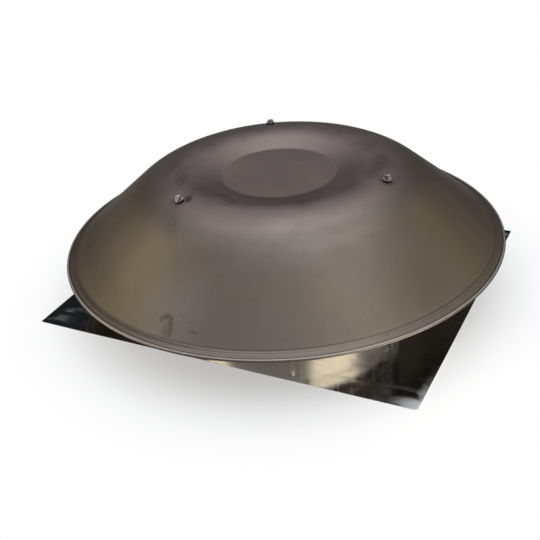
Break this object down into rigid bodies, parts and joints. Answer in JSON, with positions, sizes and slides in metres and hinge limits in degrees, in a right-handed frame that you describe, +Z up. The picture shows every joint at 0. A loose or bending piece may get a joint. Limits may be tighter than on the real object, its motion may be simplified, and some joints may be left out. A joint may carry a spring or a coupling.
{
  "type": "static roof vent",
  "caption": "Round static roof vent: a dished metal dome held on legs over a screened throat, standing on a rectangular flashing that is fastened to the roof deck.",
  "frame": {"origin": "centre of the flashing's underside, on the throat's axis", "axes": "+Z up through the dome, +X along the flashing's long side and through the right-hand leg, +Y away from the picture's viewer"},
  "size_m": [0.6, 0.6, 0.1773],
  "materials": {
    "flashing": "bright mill finish, streaked and scuffed",
    "collar": "mill finish",
    "rivets": "plain",
    "sealant": "matt grey, tooled by hand",
    "legs": "zinc coated",
    "dome_paint": "weathered satin brown",
    "screws": "zinc plated, dulled",
    "washers": "zinc plated, dulled",
    "washer_rubber": "matt black",
    "nuts": "zinc plated",
    "screen_wire": "galvanised after welding",
    "band": "mill finish"
  },
  "bodies": {
    "root": {"base_flashing": "flashing", "throat_collar": "collar", "seam_rivets": "rivets", "collar_sealant": "sealant", "leg_right": "legs", "leg_rear": "legs", "leg_left": "legs", "leg_rivets": "rivets", "dome": "dome_paint", "dome_screws": "screws", "cup_washers": "washers", "sealing_washers": "washer_rubber", "leg_nuts": "nuts", "wire_screen": "screen_wire", "screen_band": "band", "band_screws": "screws"}
  },
  "joints": []
}
